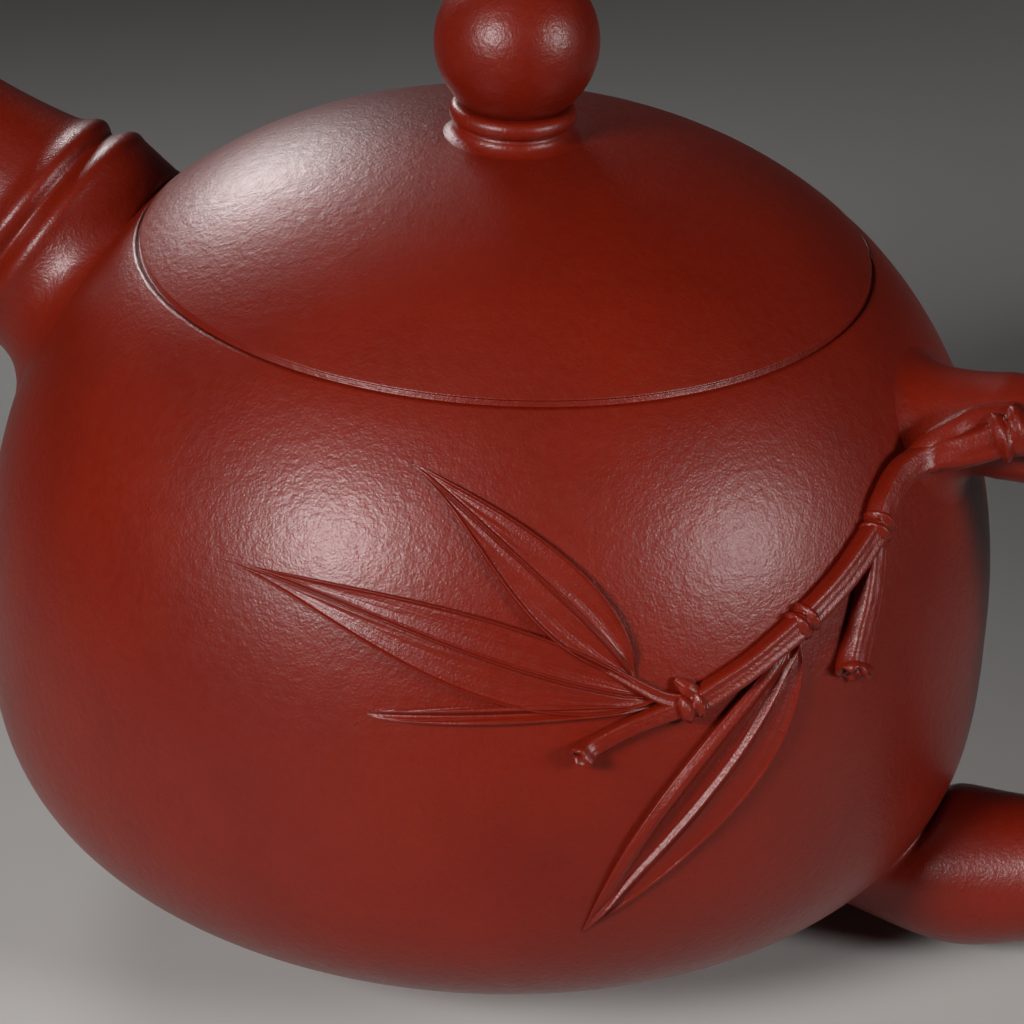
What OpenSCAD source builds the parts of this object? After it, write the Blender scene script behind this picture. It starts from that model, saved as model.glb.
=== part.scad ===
// Round unglazed clay teapot with a cut lid and an applied bamboo spray.
// The bamboo handle and its branch are on +X, the spout points to -X, +Z is up.
// The origin is on the pot's axis, in the plane that the foot ring stands on.

/* [Body] */
// Radius of the belly at its widest line
belly_r = 45; // [40:0.5:56]
// Height of the widest line above the table
equator_z = 28.3; // [26:0.1:36]
// Height of the shoulder and lid curve above the widest line
shoulder_h = 43; // [36:0.5:54]
// Depth of the lower curve below the widest line
base_depth = 25.8; // [20:0.1:25.9]
// Fullness of the upper curve, 2 is an ellipse
shoulder_full = 2.24; // [1.9:0.02:2.6]
// Fullness of the lower curve, 2 is an ellipse
base_full = 3.4; // [2:0.1:4]
// Thickness of the body's clay wall
wall = 2.6; // [1.8:0.1:3.5]

/* [Foot] */
// Outer radius of the foot ring
foot_r = 26; // [20:0.5:30]
// Width of the foot ring's flat underside
foot_w = 3.6; // [2.5:0.1:5]
// Radius of the base disc beyond the foot ring
base_margin = 4; // [2:0.5:6]
// Radius of the flat middle of the base disc
base_flat_r = 12; // [8:1:18]

/* [Mouth] */
// Radius of the seam between lid and body
mouth_r = 32; // [28:0.5:34]
// Radius of the bore that the lid's flange drops into
mouth_bore_r = 26.5; // [22:0.5:27]
// Thickness of the ledge that the lid rests on
ledge_t = 3.2; // [2.5:0.1:4]
// Height of the ring luted under the ledge
mouth_ring_h = 2.6; // [1.5:0.1:4]
// Width of the ring luted under the ledge
mouth_ring_w = 2.4; // [1.5:0.1:3]
// Bevel on both edges of the seam
seam_bevel = 0.35; // [0.2:0.05:0.6]

/* [Lid] */
// Thickness of the lid's dome
lid_wall = 2.8; // [2:0.1:3.5]
// Depth that the flange hangs below the seat
flange_drop = 5; // [3:0.5:8]
// Thickness of the flange
flange_t = 2.4; // [1.6:0.1:3]
// Radial play of the flange in the mouth
lid_play = 0.25; // [0.15:0.05:0.5]
// Gap between the lid's edge and its seat
seat_gap = 0.05; // [0.02:0.01:0.2]

/* [Knob] */
// Radius of the knob's ball
knob_r = 7.1; // [5:0.1:9]
// Radius of the collar under the ball at its waist
knob_foot_r = 4.9; // [4.2:0.1:5.5]
// How far the collar flares out where it meets the lid
knob_flare = 3; // [1:0.1:4]
// Radius of the ring between the collar and the ball
knob_neck_r = 5.5; // [4.2:0.1:6]
// Height of the collar, and of the ring above it
knob_ring_h = 1.55; // [1:0.05:2.5]
// Radius of the air hole through knob and lid
air_r = 0.8; // [0.6:0.1:1.2]

/* [Spout] */
// Outer radius of the spout where it leaves the flare
spout_root_r = 12; // [10:0.1:12.5]
// Outer radius of the spout at its tip
spout_tip_r = 5.8; // [4.6:0.1:7]
// Clay thickness of the spout
spout_wall = 2; // [1.4:0.1:2.5]
// Radius of the spout's flare on the body
spout_foot_r = 16; // [15:0.5:17]
// How far the spout's tip stands out past the belly
spout_reach = 13.5; // [10:0.5:18]
// Radius of each strainer hole behind the spout
strainer_hole_r = 1.1; // [0.8:0.1:1.3]
// Spacing of the strainer holes
strainer_pitch = 4.2; // [3.4:0.1:4.4]

/* [Handle] */
// Radius of the handle's section, up and down
handle_r = 4.5; // [3.8:0.1:5.5]
// Radius of the handle's section, side to side
handle_side_r = 4.7; // [3.8:0.1:5.5]
// How far the handle's centre line stands out past the belly
handle_reach = 28; // [25:0.5:34]
// Radius of the handle's upper flare on the shoulder
handle_top_foot_r = 8.4; // [7.5:0.1:9]
// Radius of the handle's lower flare on the belly
handle_low_foot_r = 8; // [7.5:0.1:9]

/* [Bamboo] */
// Radius of the branch between its nodes
branch_r = 1.2; // [0.9:0.05:1.5]
// How far a node's lips stand out of the stem
node_lip = 0.5; // [0.3:0.05:0.8]
// Thickness of a leaf above the clay it lies on
leaf_t = 0.55; // [0.4:0.05:0.9]
// Extra height of a leaf's midrib and rim
leaf_rib = 0.3; // [0.15:0.05:0.5]
// Depth that applied clay is pressed into the wall
press_in = 0.4; // [0.3:0.05:0.6]

/* [Hidden] */
$fn = 96;
clay = [0.50, 0.11, 0.06];
clay_pale = [0.60, 0.17, 0.09];

// The curve's angle at which its radius is r, above or below the widest line.
function t_at_r(r, full) = acos(pow(r/belly_r, full/2));
// The curve's angle at which it is up above the widest line, on a curve of height h.
function t_at_up(up, h) = asin(pow(up/h, shoulder_full/2));
// A point of the profile, set in from the outside by th. t runs from -90 at the base to 90.
function curve(t, th = 0) = let(
    n = t < 0 ? base_full : shoulder_full,
    h = (t < 0 ? -base_depth + th : shoulder_h - th)
) [(belly_r - th)*pow(cos(t), 2/n), equator_z + h*pow(abs(sin(t)), 2/n)];
function arc_of(t0, t1, th = 0, n = 24) = [for (i = [0:n]) curve(t0 + (t1 - t0)*i/n, th)];

t_seam = t_at_r(mouth_r, shoulder_full);
seam_z = curve(t_seam)[1];
wall_top_r = (mouth_r + belly_r)/2 - 1;
t_wall_top = t_at_r(wall_top_r, shoulder_full);
base_disc_r = foot_r + base_margin;
t_base = -t_at_r(base_disc_r, base_full);
t_flat = -t_at_r(base_flat_r, base_full);
ledge_z = seam_z - ledge_t;
t_ledge = t_at_up(ledge_z - equator_z, shoulder_h - wall);
lid_z = seam_z + seat_gap;
t_lid_out = t_at_up(lid_z + seam_bevel - equator_z, shoulder_h);
t_lid_in = t_at_up(lid_z - equator_z, shoulder_h - lid_wall);
t_rim = t_at_up(seam_z - seam_bevel - equator_z, shoulder_h);
flange_r = mouth_bore_r - lid_play;
lid_top_z = equator_z + shoulder_h;
knob_foot_z = lid_top_z - press_in;
knob_neck_z = knob_foot_z + knob_ring_h;
knob_ball_z = knob_neck_z + knob_ring_h;
// The ball is cut flat where it sits on the neck ring.
knob_cut_r = knob_neck_r - 1.2;
knob_centre_z = knob_ball_z + sqrt(knob_r*knob_r - knob_cut_r*knob_cut_r);

// Radius of the skin at a height, in per cent of shoulder_h above the widest line.
function skin_h(h) = abs(h)/100*shoulder_h/(h < 0 ? base_depth : shoulder_h);
function skin_n(h) = h < 0 ? base_full : shoulder_full;
function skin_r(h) = belly_r*pow(1 - pow(skin_h(h), skin_n(h)), 1/skin_n(h));
// Outward direction of the skin, as [out from the axis, up].
function skin_dir(h) = let(
    n = skin_n(h), rad = pow(skin_r(h)/belly_r, n - 1)/belly_r,
    up = sign(h)*pow(skin_h(h), n - 1)/(h < 0 ? base_depth : shoulder_h)
) [rad, up]/norm([rad, up]);
// A place on the skin: angle about the axis, height in per cent, and lift off the skin.
function skin(az, h, lift = 0) = let(d = skin_dir(h), r = skin_r(h) + lift*d[0])
    [r*cos(az), r*sin(az), equator_z + h/100*shoulder_h + lift*d[1]];
function skin_normal(az, h) = let(d = skin_dir(h)) [d[0]*cos(az), d[0]*sin(az), d[1]];
// The place on the skin in line with a point and the belly's centre.
function onto_skin(p, lift) = let(
    out = norm([p[0], p[1]]), up = p[2] - equator_z, n = skin_n(up),
    k = pow(pow(out/belly_r, n) + pow(abs(up)/(up < 0 ? base_depth : shoulder_h), n), -1/n)
) skin(atan2(p[1], p[0]), k*up/shoulder_h*100, lift);

function bezier(p, t) = p[0]*pow(1 - t, 3) + 3*p[1]*pow(1 - t, 2)*t
    + 3*p[2]*(1 - t)*t*t + p[3]*pow(t, 3);
function unit(v) = v/norm(v);
// The middle of a ring of points.
function middle(ring) = [for (j = [0:2]) [for (p = ring) p[j]]*[for (p = ring) 1]/len(ring)];
// A path through pts with per steps between them, smooth at each point.
function smooth(pts, per = 3) = [
    for (i = [0:len(pts) - 2], k = [0:per - 1]) let(
        a = pts[max(i - 1, 0)], b = pts[i], c = pts[i + 1], d = pts[min(i + 2, len(pts) - 1)]
    ) bezier([b, b + (c - a)/6, c - (d - b)/6, c], k/per),
    pts[len(pts) - 1]
];
// Points about c in the plane across t: ru towards u, rs to the side.
function ring(c, t, u, ru, rs, n) = let(s = unit(cross(t, u)), w = cross(s, t))
    [for (k = [0:n - 1]) c + w*ru*cos(360*k/n) + s*rs*sin(360*k/n)];

// Faces between ring i and the next one, n points each, counted from offset.
function skin_faces(i, n, offset, inside = false) = [
    for (k = [0:n - 1]) let(
        a = offset + i*n + k, b = offset + i*n + (k + 1) % n, c = a + n, d = b + n
    ) each inside ? [[a, d, c], [a, b, d]] : [[a, c, d], [a, d, b]]
];
// A solid that runs through rings of points, closed at both ends.
module loft(rings) {
    n = len(rings[0]);
    m = len(rings);
    polyhedron(
        points = concat([for (r = rings) each r], [middle(rings[0]), middle(rings[m - 1])]),
        faces = concat(
            [for (i = [0:m - 2]) each skin_faces(i, n, 0)],
            [for (k = [0:n - 1]) [m*n, k, (k + 1) % n]],
            [for (k = [0:n - 1]) [m*n + 1, (m - 1)*n + (k + 1) % n, (m - 1)*n + k]]
        ),
        convexity = 6
    );
}
// The same with a channel through it, open at both ends.
module hollow_loft(outer, inner) {
    n = len(outer[0]);
    m = len(outer);
    z = m*n;
    e = (m - 1)*n;
    polyhedron(
        points = concat([for (r = outer) each r], [for (r = inner) each r]),
        faces = concat(
            [for (i = [0:m - 2]) each skin_faces(i, n, 0)],
            [for (i = [0:m - 2]) each skin_faces(i, n, z, true)],
            [for (k = [0:n - 1]) let(j = (k + 1) % n)
                each [[k, j, z + j], [k, z + j, z + k]]],
            [for (k = [0:n - 1]) let(j = (k + 1) % n)
                each [[e + j, e + k, z + e + k], [e + j, z + e + k, z + e + j]]]
        ),
        convexity = 8
    );
}
// A stem of clay along a path, with a radius at each of its points.
module rod(path, radii, sides = 10) {
    p = smooth(path);
    r = smooth(radii);
    last = len(p) - 1;
    loft([for (i = [0:last]) ring(
        p[i], unit(p[min(i + 1, last)] - p[max(i - 1, 0)]),
        unit([p[i][0], p[i][1], p[i][2] - equator_z]), r[i], r[i], sides
    )]);
}
// Stands its children's +Z along a direction, at a place.
module along(place, dir) {
    translate(place)
        rotate([0, acos(unit(dir)[2]), atan2(dir[1], dir[0])])
            children();
}
// A bamboo node: two lips with a groove between, length long, around a stem of radius r.
// A hole of radius hole leaves room for a channel.
module bamboo_node(r, lip, length, hole = 0) {
    rotate_extrude()
        polygon([
            [hole, -length/2], [r, -length/2], [r + lip*0.8, -length*0.4], [r + lip, -length*0.27],
            [r + lip*0.7, -length*0.14], [r + lip*0.15, 0], [r + lip*0.7, length*0.14],
            [r + lip, length*0.27], [r + lip*0.8, length*0.4], [r, length/2], [hole, length/2]
        ]);
}
// The rings of a flare: from a foot of radius foot on the skin, in a hollow curve, to a tube's ring.
// The foot's top side is shorter by the share trim.
function flare(centre, foot, tube_ring, tube_centre, tube_r, trim = 0, steps = 5) = [
    for (i = [0:steps - 1]) let(w = i/steps, n = len(tube_ring)) [
        for (k = [0:n - 1]) let(
            out = tube_ring[k] - tube_centre,
            far = onto_skin(centre + out*foot*(1 - trim*max(cos(360*k/n), 0))/tube_r, -press_in),
            near = onto_skin(centre + out, press_in)
        ) far*pow(1 - w, 2) + near*2*w*(1 - w) + tube_ring[k]*w*w
    ]
];

// Spout: its centre line, its radius and its node.
spout_h = 56;
spout_root = skin(180, spout_h);
spout_tip = [-belly_r - spout_reach, 0, seam_z + 5.8];
spout_line = [
    spout_root, spout_root + [-6, 0, 3.6], spout_tip + [5, 0, -5.5], spout_tip
];
// The flare's top side stops this far short of the lid's seam.
spout_seam_gap = 0.6;
spout_top_foot_r = norm(spout_root - [-mouth_r, 0, seam_z]) - spout_seam_gap;
// The tip is cut a little nearer to level than square across the spout.
spout_cut_lift = [0, 0, 0.35];
spout_flare_t = 0.12;
spout_node_t = 0.24;
spout_sides = 28;
spout_steps = 10;
function spout_at(t) = bezier(spout_line, t);
function spout_dir(t) = unit(spout_at(min(t + 0.01, 1)) - spout_at(t - 0.01));
function spout_r(t) = spout_tip_r + (spout_root_r - spout_tip_r)*pow(1 - t, 1.3);
function spout_ring(t, r) = ring(spout_at(t), unit(spout_dir(t) + (t == 1 ? spout_cut_lift : [0, 0, 0])),
    [0, 0, 1], r, r, spout_sides);
function spout_rings(inset, foot) = let(
    t0 = spout_flare_t, r0 = spout_r(t0) - inset
) concat(
    flare(spout_root, foot, spout_ring(t0, r0), spout_at(t0), r0,
        trim = 1 - min(spout_top_foot_r/foot, 1)),
    [for (i = [0:spout_steps]) let(t = t0 + (1 - t0)*i/spout_steps)
        spout_ring(t, spout_r(t) - inset)]
);

// Handle: its centre line in two stretches, 0 to 1 over the top and 1 to 2 under.
handle_top = skin(0, 54.5);
handle_root_scale = 1.66;
handle_table_gap = 0.63;
handle_low = skin(0, 100*(handle_table_gap + handle_root_scale*handle_r - equator_z)/shoulder_h);
handle_out = [belly_r + handle_reach, 0, equator_z + 2.7];
handle_over = [handle_top, handle_top + [16, 0, 1.7],
    [handle_out[0], 0, handle_top[2] - 1.3], handle_out];
handle_under = [handle_out, [handle_out[0], 0, handle_low[2] + 7.6],
    handle_low + [16.6, 0, -1], handle_low];
handle_flare_top = 0.12;
handle_flare_low = 1.87;
handle_sides = 20;
handle_steps = 26;
function handle_at(s) = s <= 1 ? bezier(handle_over, s) : bezier(handle_under, s - 1);
function handle_dir(s) = unit(handle_at(min(s + 0.01, 2)) - handle_at(max(s - 0.01, 0)));
// The handle is a little slimmer at its far side and fuller at its lower root.
function handle_scale(s) = 0.92 + 0.13*pow(1 - s, 2) + 0.85*pow(max(s - 1, 0), 2);
function handle_up(s) = cross([0, -1, 0], handle_dir(s));
function handle_ring(s) = ring(handle_at(s), handle_dir(s), handle_up(s),
    handle_r*handle_scale(s), handle_side_r*handle_scale(s), handle_sides);
// A place on the handle's surface: a is 0 outside the loop and 90 on its branch side.
function on_handle(s, a, lift) = handle_at(s)
    + handle_up(s)*(handle_r*handle_scale(s) + lift)*cos(a)
    + [0, -1, 0]*(handle_side_r*handle_scale(s) + lift)*sin(a);
function handle_flare(s, root, foot) = flare(root, foot, handle_ring(s),
    handle_at(s), handle_r*handle_scale(s));

// Branch: the places of its nodes, from the handle to its end.
branch_nodes = [
    on_handle(0.15, 70, 1.2), skin(-23.5, 47, 0.9), skin(-36.9, 36, 0.8), skin(-51, 25, 0.7)
];
branch_dirs = [
    on_handle(0.15, 70, 1.2) - skin(-9.9, 52, 4.2),
    skin(-21.1, 50.4, 0.9) - skin(-25.5, 45.4, 0.9),
    skin(-35.4, 37.3, 0.8) - skin(-38.4, 34.8, 0.8),
    skin(-49, 26.4, 0.7) - skin(-52.5, 24.3, 0.7)
];
branch_node_r = [2, 1.3, 1.25, 1.2];

// The disc that closes the bottom: flat in the middle, then on the belly's lower curve.
module base_disc() {
    color(clay)
        rotate_extrude()
            polygon(concat(
                [[0, curve(t_flat)[1]]], arc_of(t_flat, t_base),
                arc_of(t_base, t_flat, wall), [[0, curve(t_flat, wall)[1]]]
            ));
}

// The ring that the pot stands on, pressed onto the base disc.
function foot_top_z(r) = curve(-t_at_r(r, base_full))[1] + press_in;
module foot_ring() {
    in_r = foot_r - foot_w;
    edge = 0.5;
    color(clay_pale)
        rotate_extrude()
            polygon([
                [in_r + edge, 0], [foot_r - edge, 0], [foot_r, edge],
                [foot_r, foot_top_z(foot_r)], [in_r, foot_top_z(in_r)], [in_r, edge]
            ]);
}

// The belly's wall, with a cluster of strainer holes where the spout covers it.
module body_wall() {
    color(clay)
        difference() {
            rotate_extrude()
                polygon(concat(
                    arc_of(t_base, 0), arc_of(0, t_wall_top),
                    arc_of(t_wall_top, 0, wall), arc_of(0, t_base, wall)
                ));
            along(spout_root, spout_dir(0.05))
                for (i = [0:6])
                    rotate([0, 0, 60*i])
                        translate([i == 6 ? 0 : strainer_pitch, 0, 0])
                            cylinder(h = 6*wall, r = strainer_hole_r, center = true, $fn = 24);
        }
}

// The disc that closes the shoulder. Its inner edge is the ledge that the lid rests on.
module shoulder_disc() {
    color(clay)
        rotate_extrude()
            polygon(concat(
                arc_of(t_wall_top, t_rim, n = 10),
                [[mouth_r - seam_bevel, seam_z], [mouth_bore_r, seam_z], [mouth_bore_r, ledge_z]],
                arc_of(t_ledge, t_wall_top, wall, n = 10)
            ));
}

// The ring under the ledge that deepens the mouth and guides the lid's flange.
module mouth_ring() {
    out_r = mouth_bore_r + mouth_ring_w;
    low_z = ledge_z - mouth_ring_h;
    edge = 0.4;
    color(clay_pale)
        rotate_extrude()
            polygon([
                [mouth_bore_r, ledge_z], [mouth_bore_r, low_z + edge], [mouth_bore_r + edge, low_z],
                [out_r - edge, low_z], [out_r, low_z + edge], [out_r, ledge_z]
            ]);
}

// The spout, flared onto the belly, with its channel.
module spout() {
    color(clay)
        hollow_loft(
            spout_rings(0, spout_foot_r),
            spout_rings(spout_wall, strainer_pitch + 2*strainer_hole_r + 1)
        );
}

// The bamboo node that rings the spout just past its flare.
module spout_node() {
    color(clay_pale)
        along(spout_at(spout_node_t), spout_dir(spout_node_t))
            bamboo_node(spout_r(spout_node_t) - 0.1, node_lip + 0.3, 5.2,
                spout_r(spout_node_t) - spout_wall/2);
}

// The handle, a bamboo culm flared onto the shoulder and the lower belly.
module handle() {
    low = handle_flare(handle_flare_low, handle_low, handle_low_foot_r);
    color(clay)
        loft(concat(
            handle_flare(handle_flare_top, handle_top, handle_top_foot_r),
            [for (i = [0:handle_steps])
                handle_ring(handle_flare_top
                    + (handle_flare_low - handle_flare_top)*i/handle_steps)],
            [for (i = [len(low) - 1:-1:0]) low[i]]
        ));
}

// One of the nodes around the handle.
module handle_node(s) {
    r = max(handle_r, handle_side_r)*handle_scale(s);
    color(clay_pale)
        along(handle_at(s), handle_dir(s))
            bamboo_node(r - 0.1, node_lip + 0.2, 4.4, min(handle_r, handle_side_r)*0.7);
}
module handle_node_top() { handle_node(0.55); }
module handle_node_back() { handle_node(1.05); }
module handle_node_low() { handle_node(1.5); }

// The branch where it lies along the handle, growing out of it.
module branch_on_handle() {
    color(clay)
        rod([on_handle(0.42, 56, -1), on_handle(0.32, 60, -0.3), on_handle(0.22, 66, 0.7),
            branch_nodes[0]], [0.9, 1.3, 1.7, 1.9]);
}

// A short root that runs from the branch's first node onto the shoulder.
module branch_root_spur() {
    color(clay)
        rod([on_handle(0.15, 52, 0.6), skin(-7.2, 55.6, 5.7), skin(-9.3, 56.1, 4.2), skin(-11.3, 55.9, 2.8),
            skin(-13.9, 54.8, 1.7)], [1.3, 1.25, 1.2, 1.05, 0.8]);
}

// The branch's three lengths between its nodes.
module branch_length_1() {
    color(clay)
        rod([branch_nodes[0], skin(-9.9, 52, 4.2), skin(-12.4, 53.2, 1.9), skin(-16.6, 53.2, 1.1),
            skin(-21.1, 50.4, 0.9), branch_nodes[1]],
            branch_r*[1.5, 1.25, 1.15, 1.05, 1, 1]);
}
module branch_length_2() {
    color(clay)
        rod([branch_nodes[1], skin(-30.5, 41.2, 0.8), branch_nodes[2]], branch_r*[1, 0.95, 0.97]);
}
module branch_length_3() {
    color(clay)
        rod([branch_nodes[2], skin(-44, 30.3, 0.7), branch_nodes[3]], branch_r*[0.97, 0.88, 0.95]);
}

// The branch's nodes, numbered from the handle.
module branch_node(i) {
    color(clay_pale)
        along(branch_nodes[i], branch_dirs[i])
            bamboo_node(branch_node_r[i] - 0.1, node_lip*(i == 0 ? 0.9 : 0.75), i == 0 ? 3.4 : 2.2);
}
module branch_node_0() { branch_node(0); }
module branch_node_1() { branch_node(1); }
module branch_node_2() { branch_node(2); }
module branch_node_3() { branch_node(3); }

// Broken twigs that hang from the first and the last node.
module twig_stub_upper() {
    color(clay)
        rod([skin(-24.2, 45, 0.7), skin(-27, 36.5, 0.8), skin(-31, 24, 0.8)], [1.15, 1.3, 1.65]);
}
module twig_stub_lower() {
    color(clay)
        rod([skin(-51.6, 24.8, 0.4), skin(-57, 22.3, 0.5), skin(-62.8, 17.2, 0.6)], [0.9, 0.85, 1.15]);
}

// The thin stem that carries the two front leaves, and the bud beside it.
module leaf_stem() {
    color(clay)
        rod([skin(-51, 25.5, 0.5), skin(-54, 27, 0.5), skin(-57, 30, 0.4), skin(-61.5, 34.6, 0.2),
            skin(-67, 38.8, 0)], [0.8, 0.65, 0.55, 0.45, 0.35]);
}
module leaf_bud() {
    color(clay_pale)
        rod([skin(-50.5, 26.5, 0.6), skin(-51.5, 28.6, 0.7), skin(-52.5, 30, 0.3)], [0.8, 0.7, 0.3]);
}

// A leaf on the skin, given by its base, its tip and two guide points for each of its lower edge,
// its midrib and its upper edge, as [angle, height]. The rib and the rim stand proud.
leaf_across = [-1, -0.82, -0.1, 0, 0.1, 0.82, 1];
leaf_along = 14;
function leaf_point(base, tip, low, mid, high, u, v) = let(
    m = bezier([base, mid[0], mid[1], tip], u),
    side = v < 0 ? low : high,
    e = bezier([base, side[0], side[1], tip], u)
) m + (e - m)*abs(v);
function leaf_lift(u, v) = (0.4 + 0.6*sin(180*u))
    * (leaf_t + (v == 0 || abs(v) == 1 ? leaf_rib : 0));
module leaf(base, tip, low, mid, high) {
    n = len(leaf_across);
    m = leaf_along + 1;
    grid = [for (i = [0:leaf_along], v = leaf_across) let(u = 0.02 + 0.96*i/leaf_along)
        [leaf_point(base, tip, low, mid, high, u, v), leaf_lift(u, v)]];
    z = m*n;
    cells = [for (i = [0:m - 2], j = [0:n - 2]) [i*n + j, i*n + j + 1, (i + 1)*n + j + 1, (i + 1)*n + j]];
    rim = concat(
        [for (j = [0:n - 2]) [j, j + 1]], [for (i = [0:m - 2]) [i*n + n - 1, (i + 1)*n + n - 1]],
        [for (j = [n - 1:-1:1]) [(m - 1)*n + j, (m - 1)*n + j - 1]],
        [for (i = [m - 1:-1:1]) [i*n, (i - 1)*n]]
    );
    color(clay)
        polyhedron(
            points = concat([for (g = grid) skin(g[0][0], g[0][1], g[1])],
                [for (g = grid) skin(g[0][0], g[0][1], -press_in)]),
            faces = concat(
                [for (c = cells) each [[c[0], c[3], c[2]], [c[0], c[2], c[1]]]],
                [for (c = cells) each [[z + c[0], z + c[2], z + c[3]], [z + c[0], z + c[1], z + c[2]]]],
                [for (e = rim) each [[e[0], e[1], z + e[1]], [e[0], z + e[1], z + e[0]]]]
            ),
            convexity = 4
        );
}
module leaf_upper() {
    leaf([-57, 31], [-84, 66], [[-70, 36.3], [-72.7, 57.6]], [[-62, 44], [-74, 59.8]],
        [[-56.4, 50.6], [-72.4, 62.2]]);
}
module leaf_main() {
    leaf([-54, 26.5], [-104.5, 43.8], [[-72, 18], [-87.5, 42.7]], [[-70.5, 32.2], [-87.1, 45.5]],
        [[-66.8, 46.3], [-87.1, 46.5]]);
}
module leaf_folded() {
    leaf([-55, 25], [-85.2, 22.4], [[-66, 24], [-83.5, 20.4]], [[-66, 26.6], [-83.5, 22.4]],
        [[-66, 29.6], [-83.5, 24.6]]);
}
module leaf_hanging() {
    leaf([-37, 34.8], [-61.2, -23.5], [[-36.2, 9.5], [-50, -6]], [[-43, 15.2], [-53.8, -3.6]],
        [[-50, 21.5], [-58.2, 0]]);
}

// The lid's dome, which carries on the body's curve above the seam.
module lid_dome() {
    color(clay)
        difference() {
            rotate_extrude()
                polygon(concat(
                    [[mouth_r - seam_bevel, lid_z]], arc_of(t_lid_out, 90), arc_of(90, t_lid_in, lid_wall)
                ));
            cylinder(h = 4*lid_top_z, r = air_r, center = true);
        }
}

// The ring under the lid that drops into the mouth.
function dome_under_z(r) = let(t = acos(pow(r/(belly_r - lid_wall), shoulder_full/2)))
    curve(t, lid_wall)[1] + press_in;
module lid_flange() {
    in_r = flange_r - flange_t;
    low_z = seam_z - flange_drop;
    edge = 0.5;
    color(clay_pale)
        rotate_extrude()
            polygon([
                [in_r + edge, low_z], [flange_r - edge, low_z], [flange_r, low_z + edge],
                [flange_r, dome_under_z(flange_r)], [in_r, dome_under_z(in_r)], [in_r, low_z + edge]
            ]);
}

// The collar under the knob: it flares out onto the lid in a hollow curve.
module knob_foot_ring() {
    steps = 8;
    low_z = knob_foot_z - 0.1;
    waist_z = knob_foot_z + knob_ring_h*0.6;
    flare = [for (i = [0:steps]) let(w = i/steps)
        [knob_foot_r + knob_flare*pow(1 - w, 2), low_z + (waist_z - low_z)*w*w]];
    color(clay)
        rotate_extrude()
            polygon(concat([[air_r, low_z]], flare, [[knob_foot_r, knob_neck_z], [air_r, knob_neck_z]]));
}

// The ring with a rounded edge between the collar and the ball.
module knob_neck_ring() {
    edge = min(knob_ring_h*0.45, 0.6);
    low_z = knob_neck_z + edge;
    high_z = knob_ball_z - edge;
    color(clay_pale)
        rotate_extrude()
            polygon(concat(
                [[air_r, knob_neck_z]],
                [for (a = [-90:30:0]) [knob_neck_r - edge + edge*cos(a), low_z + edge*sin(a)]],
                [for (a = [0:30:90]) [knob_neck_r - edge + edge*cos(a), high_z + edge*sin(a)]],
                [[air_r, knob_ball_z]]
            ));
}

// The ball of the knob, cut flat where it sits on the neck ring.
module knob_ball() {
    color(clay)
        difference() {
            translate([0, 0, knob_centre_z])
                sphere(r = knob_r);
            translate([-knob_r, -knob_r, knob_ball_z - 2*knob_r])
                cube(2*knob_r);
            cylinder(h = 4*lid_top_z, r = air_r, center = true);
        }
}

base_disc();
foot_ring();
body_wall();
shoulder_disc();
mouth_ring();
spout();
spout_node();
handle();
handle_node_top();
handle_node_back();
handle_node_low();
branch_on_handle();
branch_root_spur();
branch_length_1();
branch_length_2();
branch_length_3();
branch_node_0();
branch_node_1();
branch_node_2();
branch_node_3();
twig_stub_upper();
twig_stub_lower();
leaf_stem();
leaf_bud();
leaf_upper();
leaf_main();
leaf_folded();
leaf_hanging();
lid_dome();
lid_flange();
knob_foot_ring();
knob_neck_ring();
knob_ball();
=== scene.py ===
# A round teapot of unglazed, hand-burnished red clay. Its parts are pressed from slabs or
# rolled from coils, stuck together with slip while leather-hard, and fired into one.
# Everything is in metres: the table is z = 0, the handle is on +X and the bamboo spray on -Y.
import bpy
import numpy as np
from mathutils import Matrix, Vector


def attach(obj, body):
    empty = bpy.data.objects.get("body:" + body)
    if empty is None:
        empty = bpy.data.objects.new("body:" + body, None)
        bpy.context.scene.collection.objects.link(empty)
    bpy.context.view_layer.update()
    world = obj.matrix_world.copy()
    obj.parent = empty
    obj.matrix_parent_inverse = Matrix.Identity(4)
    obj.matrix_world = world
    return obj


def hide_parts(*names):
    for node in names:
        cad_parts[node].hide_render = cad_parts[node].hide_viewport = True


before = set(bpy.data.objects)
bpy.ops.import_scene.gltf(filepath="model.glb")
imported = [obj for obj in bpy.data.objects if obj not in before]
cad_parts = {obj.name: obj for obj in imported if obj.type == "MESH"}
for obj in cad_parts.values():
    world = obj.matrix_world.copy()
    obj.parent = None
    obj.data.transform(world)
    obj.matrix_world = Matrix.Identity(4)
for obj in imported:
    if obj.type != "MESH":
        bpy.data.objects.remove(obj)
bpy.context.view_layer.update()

# ---- Pot shell ----
# The belly's wall, the disc that closes the shoulder and the disc that closes the base. The
# slabs are beaten round, joined, and burnished together, so no join is left to see.
mm = 0.001
belly_r = 45*mm
widest_z = 28.3*mm
shoulder_h = 43*mm
base_depth = 25.8*mm
shoulder_full = 2.24
base_full = 3.4
wall = 2.6*mm
mouth_r = 32*mm
bore_r = 26.5*mm
ledge_t = 3.2*mm
base_flat_r = 12*mm
seam_bevel = 0.35*mm
lip_w = 2.6*mm
lip_drop = 0.22*mm
seam_drop = 0.45*mm


def skin_z(r, inset=0.0, upper=True):
    """Height of the belly's skin at a radius. The upper and the lower half of its profile are
    each a quarter of a superellipse, (r/R)^n + (z/H)^n = 1; inset moves it into the wall."""
    n, tall = (shoulder_full, shoulder_h) if upper else (base_full, base_depth)
    z = (tall - inset)*np.maximum(1 - (r/(belly_r - inset))**n, 0)**(1/n)
    return widest_z + z if upper else widest_z - z


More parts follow.
